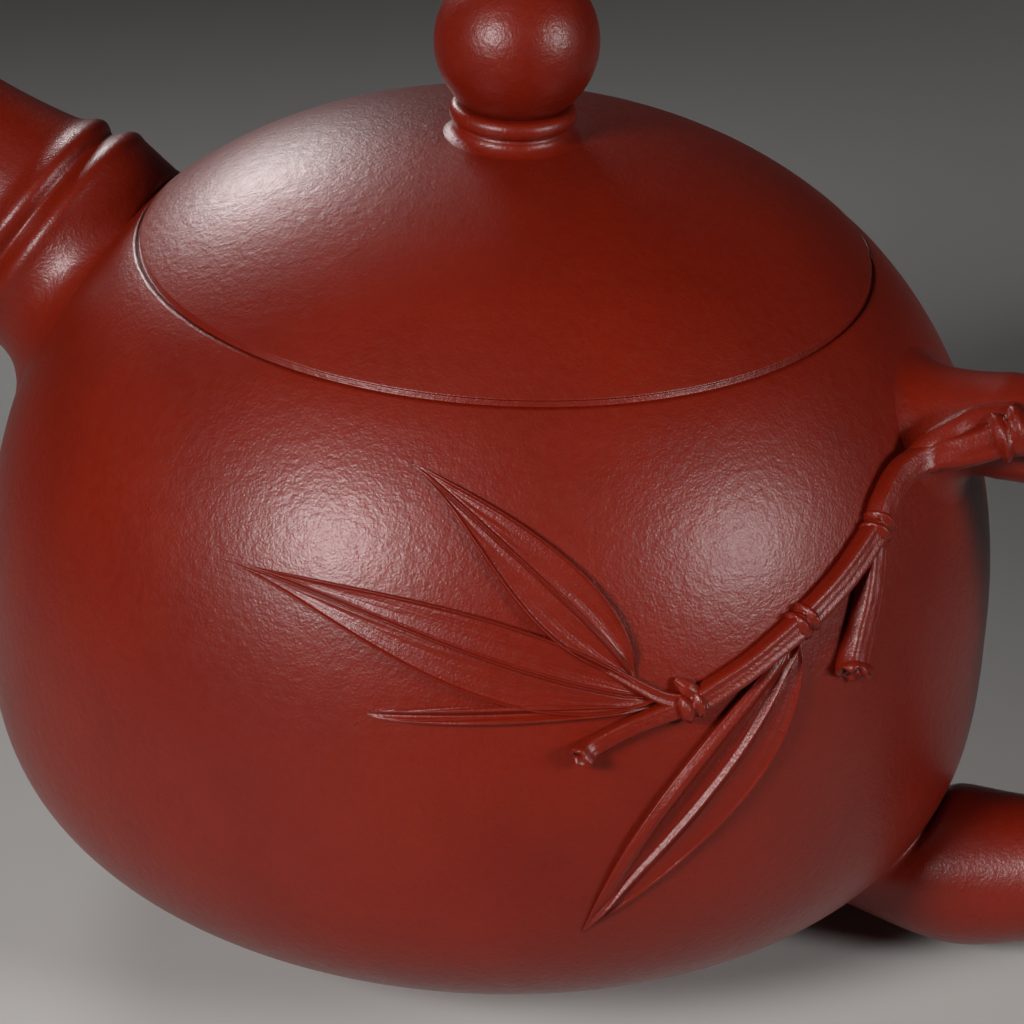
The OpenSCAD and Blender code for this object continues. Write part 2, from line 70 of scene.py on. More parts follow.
def inside_r(z, inset):
    """Radius at height z of the shoulder's curve moved into the wall by inset, which is skin_z
    solved for the radius."""
    up = (z - widest_z)/(shoulder_h - inset)
    return (belly_r - inset)*(1 - up**shoulder_full)**(1/shoulder_full)


def skin_arc(r0, r1, steps, inset=0.0, upper=True):
    """Profile points of the skin from radius r0 to r1, spaced evenly in the angle t where
    r = R cos(t)^(2/n), so that they crowd where the curve turns."""
    n = shoulder_full if upper else base_full
    t = np.arccos((np.array([r0, r1])/(belly_r - inset))**(n/2))
    r = (belly_r - inset)*np.cos(np.linspace(t[0], t[1], steps))**(2/n)
    return np.column_stack([r, skin_z(r, inset, upper)])


def rounded(corners, radius, steps=6):
    """A profile through corners, each one rounded off. A corner becomes a parabola between the
    points a radius away from it on its two sides, with one more point beyond each end."""
    p = np.array(corners, float)
    out = []
    for i in range(1, len(p) - 1):
        back, on = p[i - 1] - p[i], p[i + 1] - p[i]
        back, on = back/np.linalg.norm(back), on/np.linalg.norm(on)
        t = np.linspace(0, 1, steps)[:, None]
        turn = p[i] + radius*(back*(1 - t)**2 + on*t**2)
        out += [p[i] + back*radius*1.3, *turn, p[i] + on*radius*1.3]
    return np.vstack([p[:1], out, p[-1:]])


def clay_piece(name, grid, body, finish, stands_for, ends="poles"):
    """A closed skin of clay through a grid of points. Every row of the grid is a ring. The rows
    run between two ends that close on their rings' middles, or, with ends="round", the last row
    joins the first. If the volume inside comes out negative, every face is turned over."""
    rows, cols = grid.shape[:2]
    here = np.arange(rows*cols).reshape(rows, cols)
    beside = np.roll(here, -1, axis=1)
    points = grid.reshape(-1, 3)
    fans = np.zeros((0, 3), int)
    if ends == "round":
        quads = np.stack([here, beside, np.roll(beside, -1, 0), np.roll(here, -1, 0)], -1)
    else:
        quads = np.stack([here[:-1], beside[:-1], beside[1:], here[1:]], -1)
        first, last = np.full(cols, rows*cols), np.full(cols, rows*cols + 1)
        points = np.vstack([points, grid[0].mean(0), grid[-1].mean(0)])
        fans = np.vstack([np.column_stack([first, beside[0], here[0]]),
                          np.column_stack([last, here[-1], beside[-1]])])
    quads = quads.reshape(-1, 4)
    thirds = points[np.vstack([quads[:, [0, 1, 2]], quads[:, [0, 2, 3]], fans])]
    if np.einsum("ij,ij->", thirds[:, 0], np.cross(thirds[:, 1], thirds[:, 2])) < 0:
        quads, fans = quads[:, ::-1], fans[:, ::-1]
    mesh = bpy.data.meshes.new(name)
    mesh.from_pydata(points.tolist(), [], quads.tolist() + fans.tolist())
    mesh.shade_smooth()
    piece = bpy.data.objects.new(name, mesh)
    bpy.context.scene.collection.objects.link(piece)
    piece.data.materials.append(finish)
    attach(piece, body)
    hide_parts(*stands_for)
    return piece


def turned(name, profile, body, finish, stands_for, ends="poles", around=256):
    """A piece turned about the pot's axis: each profile point (r, z) becomes a circle."""
    a = np.linspace(0, 2*np.pi, around, endpoint=False)
    r, z = profile[:, :1], profile[:, 1:]
    grid = np.stack([r*np.cos(a), r*np.sin(a), z + 0*a], -1)
    return clay_piece(name, grid, body, finish, stands_for, ends)


def red_clay(name, dark, light, roughness, grain, ripple, sheen):
    """Fired iron-red clay. Colour: slow clouds and fine mottling between a dark and a light red,
    with sparse dark specks of iron. Surface: a fine grain, a wavier skin drawn up by the
    burnishing tool, and long faint strokes that run round the pot, all as bump."""
    clay = bpy.data.materials.new(name)
    clay.use_nodes = True
    nodes, links = clay.node_tree.nodes, clay.node_tree.links
    shader = nodes["Principled BSDF"]
    where = nodes.new("ShaderNodeTexCoord").outputs["Object"]

    def noise(scale, detail, source=where):
        n = nodes.new("ShaderNodeTexNoise")
        n.inputs["Scale"].default_value = scale
        n.inputs["Detail"].default_value = detail
        n.inputs["Roughness"].default_value = 0.55
        links.new(source, n.inputs["Vector"])
        return n.outputs["Fac"]

    def sums(kind, a, b, c=None):
        n = nodes.new("ShaderNodeMath")
        n.operation = kind
        for socket, value in zip(n.inputs, (a, b, c)):
            if hasattr(value, "links"):
                links.new(value, socket)
            elif value is not None:
                socket.default_value = value
        return n.outputs[0]

    def spread(value, low, high, out_low, out_high):
        n = nodes.new("ShaderNodeMapRange")
        for socket, v in zip(n.inputs[1:5], (low, high, out_low, out_high)):
            socket.default_value = v
        links.new(value, n.inputs[0])
        return n.outputs[0]

    def mixed(share, first, second):
        n = nodes.new("ShaderNodeMix")
        n.data_type = "RGBA"
        n.blend_type = "MIX"
        links.new(share, n.inputs["Factor"])
        for socket, value in ((n.inputs[6], first), (n.inputs[7], second)):
            if hasattr(value, "links"):
                links.new(value, socket)
            else:
                socket.default_value = (*value, 1)
        return n.outputs[2]

    # A noise's scale is per metre: 55 makes clouds about 18 mm wide, 1500 a mottle under 1 mm.
    iron_speck = (0.045, 0.006, 0.003)
    clouds = spread(noise(55, 3), 0.35, 0.65, 0.15, 0.75)
    mottle = spread(noise(1500, 4), 0.3, 0.7, -0.18, 0.18)
    share = sums("ADD", clouds, mottle)
    specks = spread(noise(1500, 1), 0.785, 0.82, 0.0, 0.7)
    colour = mixed(specks, mixed(share, dark, light), iron_speck)
    links.new(colour, shader.inputs["Base Color"])
    shine = spread(noise(900, 4), 0.3, 0.7, roughness - 0.05, roughness + 0.06)
    links.new(shine, shader.inputs["Roughness"])
    # The burnished skin is a thin, half-glossy coat over duller clay.
    clay_gloss, skin_roughness, skin_ior = 0.22, 0.29, 1.45
    shader.inputs["Specular IOR Level"].default_value = clay_gloss
    shader.inputs["Coat Weight"].default_value = sheen
    shader.inputs["Coat Roughness"].default_value = skin_roughness
    shader.inputs["Coat IOR"].default_value = skin_ior

    # Strokes of the burnishing tool: noise stretched along the circle round the pot's axis.
    apart = nodes.new("ShaderNodeSeparateXYZ")
    links.new(where, apart.inputs[0])
    turn = sums("ARCTAN2", apart.outputs["Y"], apart.outputs["X"])
    ring = nodes.new("ShaderNodeCombineXYZ")
    stroke_stretch = 0.0045
    links.new(sums("MULTIPLY", turn, stroke_stretch), ring.inputs["X"])
    links.new(apart.outputs["Z"], ring.inputs["Y"])
    strokes = noise(1600, 3, ring.outputs[0])
    waves = sums("MULTIPLY", noise(1250, 2), ripple)
    height = sums("MULTIPLY_ADD", noise(4200, 3), grain, waves)
    height = sums("MULTIPLY_ADD", strokes, 0.25*grain, height)
    bump = nodes.new("ShaderNodeBump")
    bump.inputs["Strength"].default_value = 1.0
    bump.inputs["Distance"].default_value = 1.0
    links.new(height, bump.inputs["Height"])
    links.new(bump.outputs["Normal"], shader.inputs["Normal"])
    links.new(bump.outputs["Normal"], shader.inputs["Coat Normal"])
    return clay


burnished = red_clay("burnished_clay", (0.125, 0.0052, 0.0006), (0.170, 0.0085, 0.0012),
                     roughness=0.43, grain=0.036*mm, ripple=0.048*mm, sheen=0.42)
plain = red_clay("plain_clay", (0.125, 0.0060, 0.0012), (0.170, 0.0095, 0.0022),
                 roughness=0.52, grain=0.030*mm, ripple=0.030*mm, sheen=0.08)

seam_z = float(skin_z(mouth_r))
ledge_z = seam_z - ledge_t
under_r = inside_r(ledge_z, wall)
# Towards the seam the skin falls away a little, so the mouth has a soft lip. The seam is a
# fine groove outside a level land that carries the lid's rim, and ledge_z is the underside.
groove_out, groove_floor_out, groove_floor_in = 0.16*mm, 0.06*mm, 0.22*mm
groove_z, land_z, groove_round = seam_z - seam_drop, seam_z - 0.02*mm, 0.07*mm
shoulder = skin_arc(belly_r, mouth_r + groove_out, 90)[1:]
shoulder[:, 1] -= lip_drop*np.clip((mouth_r + lip_w - shoulder[:, 0])/lip_w, 0, 1)**2
base_z = float(skin_z(base_flat_r, 0, False))
floor_z = float(skin_z(base_flat_r, wall, False))
middle_r, flat_r = 0.6*mm, 6*mm
mouth_edge = rounded([
    shoulder[-1], [mouth_r + groove_floor_out, groove_z], [mouth_r - groove_floor_in, groove_z],
    [mouth_r - seam_bevel, land_z], [bore_r, land_z], [bore_r, ledge_z], [under_r, ledge_z]],
    groove_round)[1:]
shell_profile = np.vstack([
    [[middle_r, base_z], [flat_r, base_z]], skin_arc(base_flat_r, belly_r, 70, 0, False),
    shoulder, mouth_edge,
    skin_arc(under_r, belly_r - wall, 40, wall)[1:],
    skin_arc(belly_r - wall, base_flat_r, 50, wall, False)[1:],
    [[flat_r, floor_z], [middle_r, floor_z]],
])
shell = turned("pot_shell", shell_profile, "pot", burnished,
               ["body_wall", "shoulder_disc", "base_disc"])

# ---- Foot ring ----
# A coil of clay pressed under the base and trimmed square, with its edges rubbed round.
foot_r, foot_w = 26*mm, 3.6*mm
foot_in = foot_r - foot_w
foot_smear_r, foot_smear_h, foot_edge = foot_r + 1.2*mm, 0.9*mm, 0.55*mm
foot_profile = rounded([
    [foot_in, skin_z(foot_in, -0.3*mm, False) + 0.4*mm], [foot_in, 0], [foot_r, 0],
    [foot_r, skin_z(foot_r, 0, False) - foot_smear_h],
    [foot_smear_r, skin_z(foot_smear_r, 0, False) + 0.1*mm]], foot_edge)
turned("foot_ring_coil", foot_profile, "pot", plain, ["foot_ring"], "round")

# ---- Mouth ring ----
# A strip of clay luted under the ledge, which deepens the mouth and guides the lid.
mouth_ring_w, mouth_ring_h, mouth_ring_edge = 2.4*mm, 2.6*mm, 0.35*mm
ring_low = ledge_z - mouth_ring_h
ring_top = ledge_z + 0.3*mm
mouth_ring_profile = rounded([
    [bore_r + 0.3*mm, ring_top], [bore_r, ledge_z], [bore_r, ring_low],
    [bore_r + mouth_ring_w, ring_low], [bore_r + mouth_ring_w, ring_top]], mouth_ring_edge)
turned("mouth_ring_strip", mouth_ring_profile, "pot", plain, ["mouth_ring"], "round")

# ---- Spout ----
# A short bamboo spout, rolled over a peg. Its root is smeared out onto the shoulder, and two
# lips with a groove between them mark its node. Seven strainer holes lead into it.
spout_root_r, spout_tip_r, spout_wall = 12*mm, 5.8*mm, 2*mm
spout_foot_r, channel_foot_r = 16*mm, 7.4*mm
spout_reach, spout_tip_up, spout_seam_gap = 13.5*mm, 5.8*mm, 0.6*mm
spout_taper, spout_lip_round = 1.3, 0.35*mm
strainer_r, strainer_pitch = 1.1*mm, 4.2*mm
press_in = 0.4*mm


def skin(az, h, lift=0.0):
    """Places on the belly's skin. az is the angle about the axis in degrees, h the height above
    the widest line in per cent of the shoulder's height, and lift is measured along the skin's
    outward direction, which is the superellipse's gradient."""
    az, h = np.radians(az), np.asarray(h, float)
    n = np.where(h < 0, base_full, shoulder_full)
    tall = np.where(h < 0, base_depth, shoulder_h)
    up = np.abs(h)/100*shoulder_h/tall
    r = belly_r*np.maximum(1 - up**n, 1e-9)**(1/n)
    out, rise = (r/belly_r)**(n - 1)/belly_r, np.sign(h)*up**(n - 1)/tall
    size = np.hypot(out, rise)
    r = r + lift*out/size
    z = widest_z + h/100*shoulder_h + lift*rise/size
    return np.stack(np.broadcast_arrays(r*np.cos(az), r*np.sin(az), z), -1)


def onto_skin(p, lift):
    """The places on the skin in line with points p and the belly's centre."""
    out, up = np.hypot(p[..., 0], p[..., 1]), p[..., 2] - widest_z
    n = np.where(up < 0, base_full, shoulder_full)
    tall = np.where(up < 0, base_depth, shoulder_h)
    k = ((out/belly_r)**n + (np.abs(up)/tall)**n)**(-1/n)
    return skin(np.degrees(np.arctan2(p[..., 1], p[..., 0])), k*up/shoulder_h*100, lift)


def bezier(p, t):
    """Cubic Bezier curve through control points p, at each value in t."""
    t = np.asarray(t, float)[..., None]
    p = np.asarray(p, float)
    return p[0]*(1 - t)**3 + 3*p[1]*(1 - t)**2*t + 3*p[2]*(1 - t)*t**2 + p[3]*t**3


def unit(v):
    """Vectors of length 1 in the directions of v."""
    return v/np.linalg.norm(v, axis=-1, keepdims=True)


def rings(path, up, ru, rs, around=72):
    """Carries an oval across a path: ru is its radius towards up and rs to the side, each one
    number, a column with one for each ring, or a table with one for each point."""
    along = unit(np.gradient(path, axis=0))
    side = unit(np.cross(along, up))
    top = np.cross(side, along)
    a = np.linspace(0, 2*np.pi, around, endpoint=False)
    rise = np.broadcast_to(ru*np.cos(a), (len(path), around))[..., None]
    reach = np.broadcast_to(rs*np.sin(a), (len(path), around))[..., None]
    return path[:, None] + top[:, None]*rise + side[:, None]*reach


def flare(centre, foot, tube_ring, tube_centre, tube_r, trim=0.0, steps=26, lift=-0.06*mm):
    """Smeared clay from the skin up to a tube: each point of the tube's ring gets a parabola
    that starts on the skin at the foot's radius, flat along the skin, and ends along the tube.
    The foot's top side is shorter by the share trim."""
    out = tube_ring - tube_centre
    a = np.linspace(0, 2*np.pi, len(out), endpoint=False)[:, None]
    far = onto_skin(centre + out*foot*(1 - trim*np.maximum(np.cos(a), 0))/tube_r, lift)
    near = onto_skin(centre + out, press_in)
    w = np.linspace(0, 1, steps, endpoint=False)[:, None, None]
    return far*(1 - w)**2 + 2*near*w*(1 - w) + tube_ring*w**2


def lips(distance, height, apart, width):
    """A bamboo node: two rounded lips either side of a groove, as two bell curves."""
    return height*np.exp(-((np.abs(distance) - apart)/width)**2)


def lengths(path):
    """Distance along a path up to each of its points."""
    return np.concatenate([[0], np.cumsum(np.linalg.norm(np.diff(path, axis=0), axis=1))])


spout_root = skin(180, 56)
spout_tip = np.array([-belly_r - spout_reach, 0, seam_z + spout_tip_up])
spout_line = [spout_root, spout_root + np.array([-6, 0, 3.6])*mm,
              spout_tip + np.array([5, 0, -5.5])*mm, spout_tip]
spout_flare_t, spout_node_t = 0.12, 0.24
spout_seam = np.array([-mouth_r, 0, seam_z])
spout_top_foot_r = np.linalg.norm(spout_root - spout_seam) - spout_seam_gap


def spout_rings(inset, foot, node):
    """The spout's surface from its root to its tip. The radius shrinks as (1 - t)^spout_taper,
    node times the two lips are added, and the last rings round over."""
    t = np.concatenate([np.linspace(spout_flare_t, 0.96, 90), np.linspace(0.965, 1, 10)])
    path = bezier(spout_line, t)
    far = lengths(path) - np.interp(spout_node_t, t, lengths(path))
    r = spout_tip_r + (spout_root_r - spout_tip_r)*(1 - t)**spout_taper - inset
    r = r + node*(lips(far, 0.75*mm, 1.6*mm, 1.15*mm) - lips(far, 0.35*mm, 0, 0.6*mm))
    tip = np.clip((t - 0.94)/0.06, 0, 1)
    r = r - (spout_lip_round if inset == 0 else -spout_lip_round)*tip**3
    grid = rings(path, [0, 0, 1], r[:, None], r[:, None])
    trim = 1 - min(spout_top_foot_r/foot, 1)
    flared = flare(spout_root, foot, grid[0], path[0], r[0], trim)
    return np.concatenate([flared, grid])


spout_grid = np.concatenate([spout_rings(0, spout_foot_r, 1),
                             spout_rings(spout_wall, channel_foot_r, 0)[::-1]])
clay_piece("spout_cane", spout_grid, "pot", burnished, ["spout", "spout_node"], "round")

drill_dir = Vector(unit(bezier(spout_line, 0.06) - bezier(spout_line, 0.04)))
drill_turn = drill_dir.to_track_quat("Z", "Y").to_matrix()
six = np.radians(60*np.arange(6))
drill_places = np.vstack([[[0, 0]], strainer_pitch*np.column_stack([np.cos(six), np.sin(six)])])
drill_sides, drill_reach = 24, 8*mm
drill_round = np.linspace(0, 2*np.pi, drill_sides, endpoint=False)
drill_ends = np.array([-drill_reach, drill_reach])
drill_grid = np.stack(np.broadcast_arrays(
    drill_places[:, None, None, 0] + strainer_r*np.cos(drill_round),
    drill_places[:, None, None, 1] + strainer_r*np.sin(drill_round),
    drill_ends[None, :, None]), -1)
drill_points = drill_grid.reshape(-1, 3) @ np.array(drill_turn).T + spout_root
drill_faces = []
for i in range(len(drill_places)):
    low = 2*drill_sides*i + np.arange(drill_sides)
    high = low + drill_sides
    drill_faces += np.column_stack([low, np.roll(low, -1), np.roll(high, -1), high]).tolist()
    drill_faces += [low[::-1].tolist(), high.tolist()]
drill_mesh = bpy.data.meshes.new("drill")
drill_mesh.from_pydata(drill_points.tolist(), [], drill_faces)
drill = bpy.data.objects.new("drill", drill_mesh)
bpy.context.scene.collection.objects.link(drill)
pierce = shell.modifiers.new("strainer_holes", "BOOLEAN")
pierce.operation, pierce.solver, pierce.object = "DIFFERENCE", "EXACT", drill
bpy.context.view_layer.update()
drilled_shell = shell.evaluated_get(bpy.context.evaluated_depsgraph_get())
pierced = bpy.data.meshes.new_from_object(drilled_shell)
shell.modifiers.clear()
shell.data = pierced
shell.data.name = "pot_shell"
bpy.data.objects.remove(drill)

# ---- Handle ----
# A bamboo culm bent into a loop. Both ends are smeared out onto the belly, and its three
# nodes are rings pressed round it and tooled into two lips.
handle_r, handle_side_r = 4.5*mm, 4.7*mm
handle_top_foot_r, handle_low_foot_r = 8.4*mm, 8*mm
handle_start, handle_end, handle_nodes = 0.12, 1.87, (0.55, 1.05, 1.5)
handle_top, handle_low = skin(0, 54.5), skin(0, -46.98)
handle_out = np.array([belly_r + 28*mm, 0, widest_z + 2.7*mm])
handle_over = [handle_top, handle_top + np.array([16, 0, 1.7])*mm,
               np.array([handle_out[0], 0, handle_top[2] - 1.3*mm]), handle_out]
handle_under = [handle_out, np.array([handle_out[0], 0, handle_low[2] + 7.6*mm]),
                handle_low + np.array([16.6, 0, -1])*mm, handle_low]


def handle_at(s):
    """Places on the handle's centre line: s is 0 at the shoulder, 1 at the back, 2 at the foot."""
    s = np.atleast_1d(np.asarray(s, float))
    return np.where(s[:, None] <= 1, bezier(handle_over, np.clip(s, 0, 1)),
                    bezier(handle_under, np.clip(s - 1, 0, 1)))


def handle_up(s):
    """Direction out of the loop at s, square to the centre line."""
    s = np.atleast_1d(np.asarray(s, float))
    along = unit(handle_at(np.minimum(s + 0.01, 2)) - handle_at(np.maximum(s - 0.01, 0)))
    return np.cross([0, -1, 0], along)


def handle_scale(s):
    """How full the handle is: slim at the back, fuller towards both roots."""
    return 0.92 + 0.13*(1 - s)**2 + 0.85*np.maximum(s - 1, 0)**2


def on_handle(s, a, lift):
    """A place on the handle: a is 0 degrees outside the loop and 90 on the spray's side."""
    a, k = np.radians(a), handle_scale(s)
    return (handle_at(s)[0] + handle_up(s)[0]*(handle_r*k + lift*mm)*np.cos(a)
            + np.array([0, -1, 0])*(handle_side_r*k + lift*mm)*np.sin(a))


handle_s = np.linspace(handle_start, handle_end, 260)
handle_path = handle_at(handle_s)
handle_far = lengths(handle_path)
swell = 0
for s in handle_nodes:
    # Each node is two lips on a gentle swelling, with a fine crease between them.
    off = handle_far - np.interp(s, handle_s, handle_far)
    swell = swell + (lips(off, 0.62*mm, 1.15*mm, 0.62*mm) + lips(off, 0.35*mm, 0, 3.2*mm)
                     - lips(off, 0.3*mm, 0, 0.5*mm))
handle_grid = rings(handle_path, handle_up(handle_s),
                    (handle_r*handle_scale(handle_s) + swell)[:, None],
                    (handle_side_r*handle_scale(handle_s) + swell)[:, None])
handle_grid = np.concatenate([
    flare(handle_top, handle_top_foot_r, handle_grid[0], handle_path[0],
          handle_r*handle_scale(handle_start)),
    handle_grid,
    flare(handle_low, handle_low_foot_r, handle_grid[-1], handle_path[-1],
          handle_r*handle_scale(handle_end))[::-1]])
# The thumb works the lower root smooth: each ring moves half way to its neighbours' mean.
thumb_strokes = 60
first, last = len(handle_grid) - 50, len(handle_grid) - 14
for _ in range(thumb_strokes):
    beside = handle_grid[first - 1:last - 1] + handle_grid[first + 1:last + 1]
    handle_grid[first:last] = 0.5*handle_grid[first:last] + 0.25*beside
clay_piece("handle_cane", handle_grid, "pot", burnished,
           ["handle", "handle_node_top", "handle_node_back", "handle_node_low"])

# ---- Branch ----
# A bamboo branch rolled by hand, laid from the handle over the belly and pressed down. Its
# front is tooled flat between two raised edges, and knots are pinched on at its nodes.
carved = red_clay("carved_clay", (0.120, 0.0050, 0.0006), (0.165, 0.0080, 0.0012),
                  roughness=0.42, grain=0.045*mm, ripple=0.040*mm, sheen=0.36)
belly_centre = np.array([0, 0, widest_z])


def smooth_path(points, per=14):
    """A curve through points with per steps between them; each stretch is a Bezier curve whose
    ends run parallel to the line between the neighbours."""
    p = np.asarray(points, float)
    p = np.vstack([p[:1], p, p[-1:]])
    t = np.linspace(0, 1, per, endpoint=False)
    parts = [bezier([b, b + (c - a)/6, c - (d - b)/6, c], t)
             for a, b, c, d in zip(p, p[1:], p[2:], p[3:])]
    return np.vstack(parts + [p[-1:]])


def wrinkles(a, s, seed, waves=7):
    """Hand-made unevenness between about -1 and 1: a sum of waves round the stem, a, and along
    it, s in millimetres, with fixed pseudo-random turns and phases."""
    draw = np.random.default_rng(seed)
    total = 0
    for _ in range(waves):
        total = total + np.sin(draw.integers(1, 7)*a + draw.uniform(0.4, 2.6)*s
                               + draw.uniform(0, 6.3))
    return total/waves**0.5/1.4


def stem_rings(points, radii, seed, edges=0.0, rough=0.02, around=56):
    """A stem of clay through points. Its section has a flat of depth edges between two raised
    edges on the side away from the belly, and its surface is uneven by the share rough."""
    path = smooth_path(points)
    r = smooth_path(np.asarray(radii, float)[:, None])
    a = np.linspace(-np.pi, np.pi, around, endpoint=False) + np.pi
    turn = (a + np.pi) % (2*np.pi) - np.pi
    flat = np.exp(-(turn/0.55)**4)
    raised = np.exp(-((np.abs(turn) - 0.85)/0.25)**2)
    shape = 1 - edges*flat + 0.4*edges*raised
    shape = shape + rough*wrinkles(a[None, :], lengths(path)[:, None]/mm, seed)
    return rings(path, path - belly_centre, r*shape, r*shape, around)


branch_nodes = [on_handle(0.15, 70, 1.2), skin(-23.5, 47, 0.9*mm), skin(-36.9, 36, 0.8*mm),
                skin(-51, 25, 0.7*mm)]
first_bend = skin(-9.9, 52, 4.2*mm)
branch_parts = {
    "branch_from_handle": ("branch_on_handle", 1, 0.06, [0.9, 1.3, 1.7, 1.9], [
        on_handle(0.42, 56, -1), on_handle(0.32, 60, -0.3), on_handle(0.22, 66, 0.7),
        branch_nodes[0]]),
    "branch_root": ("branch_root_spur", 2, 0.05, [1.3, 1.25, 1.2, 1.05, 0.8], [
        on_handle(0.15, 54, 0.5), skin(-7.2, 54.9, 5.4*mm), skin(-9.3, 55.2, 3.9*mm),
        skin(-11.3, 55.2, 2.5*mm), skin(-13.9, 54.4, 1.5*mm)]),
    "branch_upper_length": ("branch_length_1", 3, 0.14, [1.8, 1.5, 1.38, 1.26, 1.2, 1.2], [
        branch_nodes[0], first_bend, skin(-12.4, 53.2, 1.9*mm), skin(-16.6, 53.2, 1.1*mm),
        skin(-21.1, 50.4, 0.9*mm), branch_nodes[1]]),
    "branch_middle_length": ("branch_length_2", 4, 0.22, [1.2, 1.14, 1.16], [
        branch_nodes[1], skin(-30.5, 41.2, 0.8*mm), branch_nodes[2]]),
    "branch_lower_length": ("branch_length_3", 5, 0.24, [1.16, 1.06, 1.14], [
        branch_nodes[2], skin(-44, 30.3, 0.7*mm), branch_nodes[3]]),
}
for name, (node, seed, edges, radii, points) in branch_parts.items():
    clay_piece(name, stem_rings(points, np.array(radii)*mm, seed, edges), "pot", carved, [node])

knot_dirs = [branch_nodes[0] - first_bend,
             skin(-21.1, 50.4, 0.9*mm) - skin(-25.5, 45.4, 0.9*mm),
             skin(-35.4, 37.3, 0.8*mm) - skin(-38.4, 34.8, 0.8*mm),
             skin(-49, 26.4, 0.7*mm) - skin(-52.5, 24.3, 0.7*mm)]
knot_sizes = [(2.0, 0.38, 3.4), (1.3, 0.30, 2.3), (1.25, 0.30, 2.3), (1.2, 0.28, 2.3)]
knot_sides = 64
for i, (place, along, (r, lip, long)) in enumerate(zip(branch_nodes, knot_dirs, knot_sizes)):
    # Each knot is a short barrel with two lips; its creases are squeezed in by the fingers.
    run = np.linspace(-0.5, 0.5, 44)
    path = place + unit(along)*(run*long*mm)[:, None]
    a = np.linspace(0, 2*np.pi, knot_sides, endpoint=False)
    barrel = (r - 0.14)*(1 - (2*run)**8*0.35)
    barrel = barrel + lips(run, lip, 0.25, 0.13) - lips(run, 0.10, 0, 0.07)
    creases = wrinkles(2*a[None, :], 6*run[:, None]*long, 20 + i, 16)
    knot = barrel[:, None] + 0.05*creases
    knot_grid = rings(path, place - belly_centre, knot*mm, knot*mm, knot_sides)
    clay_piece(f"branch_knot_{i}", knot_grid, "pot", carved, [f"branch_node_{i}"])

# ---- Twig stubs ----
# Two broken side twigs, rolled thin and pressed on. A needle opens the broken end, so each
# shows the bamboo's hollow.
torn_rim, torn_depth = 0.28*mm, 0.5
# The broken end, step by step: how far in from the rim, as a share, and how deep, in mm.
broken_end = ((0.04, -0.12), (0.16, -0.2), (0.32, -0.12), (0.42, 0.1), (0.48, 0.8), (0.6, 1.5))


def stub(name, node, points, radii, seed):
    """A stem whose last ring turns in over a torn rim and back down a short hollow."""
    grid = stem_rings(points, np.array(radii)*mm, seed, 0.16, 0.015)
    end, centre = grid[-1], grid[-1].mean(0)
    inward = unit(grid[-2].mean(0) - centre)
    a = np.linspace(0, 2*np.pi, grid.shape[1], endpoint=False)
    torn = torn_rim*wrinkles(a, 0, seed + 40)[:, None]*inward
    hollow = [end + (centre - end)*k + inward*d*mm + torn*(1 if d < torn_depth else 0)
              for k, d in broken_end]
    clay_piece(name, np.concatenate([grid, np.array(hollow)]), "pot", carved, [node])


stub("twig_stub_high", "twig_stub_upper",
     [skin(-24.2, 45, 0.7*mm), skin(-27, 36.5, 0.8*mm), skin(-30.2, 26.2, 0.8*mm),
      skin(-31, 23.6, 1.3*mm)], [1.15, 1.25, 1.4, 1.6], 6)
stub("twig_stub_low", "twig_stub_lower",
     [skin(-51.6, 24.8, 0.4*mm), skin(-57, 22.3, 0.5*mm), skin(-61.3, 18.7, 0.5*mm),
      skin(-62.8, 17.1, 1.2*mm)], [0.9, 0.78, 0.82, 1.08], 7)

# ---- Leaf stem and bud ----
# The leaves' own stem, a rolled thread that thins out as the upper leaf's edge, and a small
# bud pinched up beside the last knot.
clay_piece("leaf_stalk", stem_rings(
    [skin(-51, 25.5, 0.5*mm), skin(-54, 27, 0.5*mm), skin(-57, 30, 0.4*mm),
     skin(-61.5, 34.6, 0.2*mm), skin(-67, 38.8, 0)],
    np.array([0.75, 0.6, 0.5, 0.42, 0.3])*mm, 8, 0.35), "pot", carved, ["leaf_stem"])
clay_piece("small_bud", stem_rings(
    [skin(-50.5, 26.5, 0.6*mm), skin(-51.5, 28.6, 0.7*mm), skin(-52.5, 30, 0.3*mm)],
    np.array([0.8, 0.7, 0.25])*mm, 9, 0.0, 0.08), "pot", carved, ["leaf_bud"])

# ---- Leaves ----
# Four thin blades cut from a sheet of clay and pressed on, so that their edges stand free.
# The rim, the midrib with a groove on each side, and the fine veins are tooled afterwards.
# vein_height and edge_tuck are in mm, as a leaf's rims are, and most_tuck is a share of the
# half width. The other two are in metres.
vein_height, edge_tuck, most_tuck = 0.004, 0.28, 0.4
edge_drop, under_depth = 0.14*mm, 0.35*mm


